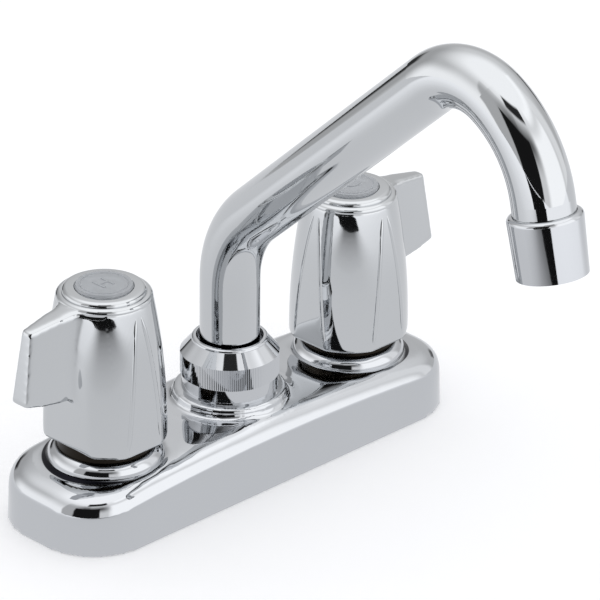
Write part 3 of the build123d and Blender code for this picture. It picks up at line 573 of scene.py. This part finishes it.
blackCard = {"name": "blackFloorCard", "tone": 0.008, "level": -0.05,
             "corners": [(-594, -269), (-2900, -420), (-212, -552), (-1900, -2300)]}


def hideFromCamera(item):
    item.visible_camera = False
    item.visible_diffuse = False
    item.visible_shadow = False


def toneRamp(tree, stops, socket):  # grey by distance in millimetres
    reach = stops[-1][0]
    share = addNode(tree, "ShaderNodeMath", {"operation": "DIVIDE"}, {1: reach * mm}, {0: socket})
    ramp = addNode(tree, "ShaderNodeValToRGB", None, None, {"Fac": share.outputs[0]})
    while len(ramp.color_ramp.elements) < len(stops):
        ramp.color_ramp.elements.new(1.0)
    for element, (distance, tone) in zip(ramp.color_ramp.elements, stops):
        element.position = distance / reach
        element.color = (tone, tone, tone, 1.0)
    return ramp.outputs["Color"]


# Grey floor card, a painted floor shadow and painted light seen in reflections only: darkest in a strip toward
# the camera, brighter far out at its sides, even behind the faucet
def greyCardGlow():
    look = greyCard
    material, tree, output = newMaterial(look["name"])
    spot = addNode(tree, "ShaderNodeTexCoord").outputs["Object"]
    toward, across = [addNode(tree, "ShaderNodeVectorMath", {"operation": "DOT_PRODUCT"},
                              {1: Vector(look[way]).normalized()}, {0: spot}).outputs["Value"]
                      for way in ("toCamera", "toSide")]
    offStrip = addNode(tree, "ShaderNodeMath", {"operation": "SUBTRACT"}, {1: look["stripMiddle"] * mm},
                       {0: across})
    offSize = addNode(tree, "ShaderNodeMath", {"operation": "ABSOLUTE"}, None, {0: offStrip.outputs[0]})
    inStrip = addNode(tree, "ShaderNodeMapRange", softStep,
                      {"From Min": look["stripOuter"] * mm, "From Max": look["stripInner"] * mm},
                      {"Value": offSize.outputs[0]})
    inFront = addNode(tree, "ShaderNodeMapRange", softStep,
                      {"From Min": look["backFrom"] * mm, "From Max": look["backTo"] * mm}, {"Value": toward})
    farOut = addNode(tree, "ShaderNodeVectorMath", {"operation": "LENGTH"}, None, {0: spot})
    sideTone = addNode(tree, "ShaderNodeMix", {"data_type": "RGBA"}, {6: (*[look["backTone"]] * 3, 1.0)},
                       {"Factor": inFront.outputs["Result"],
                        7: toneRamp(tree, look["aside"], farOut.outputs["Value"])})
    cardTone = addNode(tree, "ShaderNodeMix", {"data_type": "RGBA"}, None,
                       {"Factor": inStrip.outputs["Result"], 6: sideTone.outputs[2],
                        7: toneRamp(tree, look["towardCamera"], toward)})
    cardTint = addNode(tree, "ShaderNodeMix", {"data_type": "RGBA", "blend_type": "MULTIPLY"},
                       {"Factor": 1.0, 7: (*stageLook["floorTint"], 1.0)}, {6: cardTone.outputs[2]})
    glow = addNode(tree, "ShaderNodeEmission", None, None, {"Color": cardTint.outputs[2]})
    tree.links.new(glow.outputs["Emission"], output.inputs["Surface"])
    return material


# Black floor card: one even, nearly black glow
def blackCardGlow():
    material, tree, output = newMaterial(blackCard["name"])
    glow = addNode(tree, "ShaderNodeEmission", None,
                   {"Color": (*stageLook["floorTint"], 1.0), "Strength": blackCard["tone"]})
    tree.links.new(glow.outputs["Emission"], output.inputs["Surface"])
    return material


# Tent cloth: its walls glow by direction from the tent's middle, panel over panel
def tentClothGlow():
    material, tree, output = newMaterial("litTentCloth")
    spot = addNode(tree, "ShaderNodeTexCoord").outputs["Object"]
    heading = addNode(tree, "ShaderNodeVectorMath", {"operation": "NORMALIZE"}, None, {0: spot})
    axes = addNode(tree, "ShaderNodeSeparateXYZ", None, None, {"Vector": heading.outputs["Vector"]}).outputs
    elevation = addNode(tree, "ShaderNodeMath", {"operation": "ARCSINE"}, None, {0: axes["Z"]}).outputs[0]
    flat = addNode(tree, "ShaderNodeCombineXYZ", None, None, {"X": axes["X"], "Y": axes["Y"]})
    flatUnit = addNode(tree, "ShaderNodeVectorMath", {"operation": "NORMALIZE"}, None,
                       {0: flat.outputs["Vector"]})
    toneSocket = None
    for panel in tentPanels:
        azimuth, halfWidth, low, high, soft = [math.radians(panel[key])
                                               for key in ("azimuth", "half", "low", "high", "soft")]
        facing = addNode(tree, "ShaderNodeVectorMath", {"operation": "DOT_PRODUCT"},
                         {1: (math.cos(azimuth), math.sin(azimuth), 0)}, {0: flatUnit.outputs["Vector"]})
        swing = addNode(tree, "ShaderNodeMath", {"operation": "ARCCOSINE"}, None,
                        {0: facing.outputs["Value"]})
        cover = None
        for source, start, end in ((swing.outputs[0], halfWidth + soft / 2, halfWidth - soft / 2),
                                   (elevation, low - soft / 2, low + soft / 2),
                                   (elevation, high + soft / 2, high - soft / 2)):
            edge = addNode(tree, "ShaderNodeMapRange", softStep, {"From Min": start, "From Max": end},
                           {"Value": source}).outputs["Result"]
            if cover:
                both = addNode(tree, "ShaderNodeMath", {"operation": "MULTIPLY"}, None, {0: cover, 1: edge})
                edge = both.outputs[0]
            cover = edge
        blend = addNode(tree, "ShaderNodeMix", {"data_type": "FLOAT"},
                        {2: stageLook["wallTone"], 3: panel["tone"]}, {"Factor": cover})
        if toneSocket:
            tree.links.new(toneSocket, blend.inputs[2])
        toneSocket = blend.outputs[0]
    glow = addNode(tree, "ShaderNodeEmission", None, {"Color": (*stageLook["tentTint"], 1.0)},
                   {"Strength": toneSocket})
    tree.links.new(glow.outputs["Emission"], output.inputs["Surface"])
    return material


# White paper: matt, with a faint fibre. It looks white to camera, metal and clear parts, and keeps the shadow
def paperFinish():
    material, tree, output = newMaterial("whitePaperFloor")
    spot = addNode(tree, "ShaderNodeTexCoord").outputs["Object"]
    fibre = addNode(tree, "ShaderNodeTexNoise", None,
                    {"Scale": 1 / (stageLook["fibreMm"] * mm), "Detail": 2.0}, {"Vector": spot})
    tone = addNode(tree, "ShaderNodeMix", {"data_type": "RGBA"},
                   {6: toLinear(stageLook["paper"]), 7: toLinear(stageLook["paperDeep"])},
                   {"Factor": fibre.outputs["Fac"]})
    paper = addNode(tree, "ShaderNodeBsdfDiffuse", None, None, {"Color": tone.outputs[2]})
    rays = addNode(tree, "ShaderNodeLightPath").outputs
    seen = addNode(tree, "ShaderNodeMath", {"operation": "MAXIMUM"}, None,
                   {0: rays["Is Camera Ray"], 1: rays["Is Glossy Ray"]})
    seenAll = addNode(tree, "ShaderNodeMath", {"operation": "MAXIMUM"}, None,
                      {0: seen.outputs[0], 1: rays["Is Transmission Ray"]})
    lift = addNode(tree, "ShaderNodeMath", {"operation": "MULTIPLY"}, {1: stageLook["paperLift"]},
                   {0: seenAll.outputs[0]})
    glow = addNode(tree, "ShaderNodeEmission", None, None, {"Strength": lift.outputs[0]})
    both = addNode(tree, "ShaderNodeAddShader", None, None,
                   {0: paper.outputs["BSDF"], 1: glow.outputs["Emission"]})
    tree.links.new(both.outputs["Shader"], output.inputs["Surface"])
    return material


deselectAll()
bpy.ops.mesh.primitive_plane_add(size=greyCard["size"], location=(0, 0, greyCard["level"] * mm))
greySheet = bpy.context.object
greySheet.name = greyCard["name"]
greySheet.data.materials.append(greyCardGlow())
hideFromCamera(greySheet)

deselectAll()
bpy.ops.mesh.primitive_plane_add(size=1, location=(0, 0, 0))
blackSheet = bpy.context.object
blackSheet.name = blackCard["name"]
for vertex, (x, y) in zip(blackSheet.data.vertices, blackCard["corners"]):
    vertex.co = Vector((x, y, blackCard["level"])) * mm
blackSheet.data.materials.append(blackCardGlow())
hideFromCamera(blackSheet)

deselectAll()
bpy.ops.mesh.primitive_uv_sphere_add(segments=stageLook["tentSides"], ring_count=stageLook["tentRings"],
                                     radius=stageLook["tentRadius"])
tent = bpy.context.object
tent.name = "lightTent"
tent.data.materials.append(tentClothGlow())
hideFromCamera(tent)

deselectAll()
bpy.ops.mesh.primitive_plane_add(size=stageLook["paperSize"], location=(0, 0, stageLook["paperLevel"] * mm))
floorSheet = bpy.context.object
floorSheet.name = "floorSheet"
floorSheet.data.materials.append(paperFinish())

world = bpy.data.worlds.new("whiteTentWorld")
bpy.context.scene.world = world
world.use_nodes = True
world.node_tree.nodes.clear()
worldOutput = addNode(world.node_tree, "ShaderNodeOutputWorld")
sky = addNode(world.node_tree, "ShaderNodeBackground", None,
              {"Color": (*stageLook["skyTint"], 1.0), "Strength": 1.0})
world.node_tree.links.new(sky.outputs["Background"], worldOutput.inputs["Surface"])

bpy.context.scene.view_settings.view_transform = "Standard"
print("stage: camera and tent set")

bpy.context.view_layer.update()
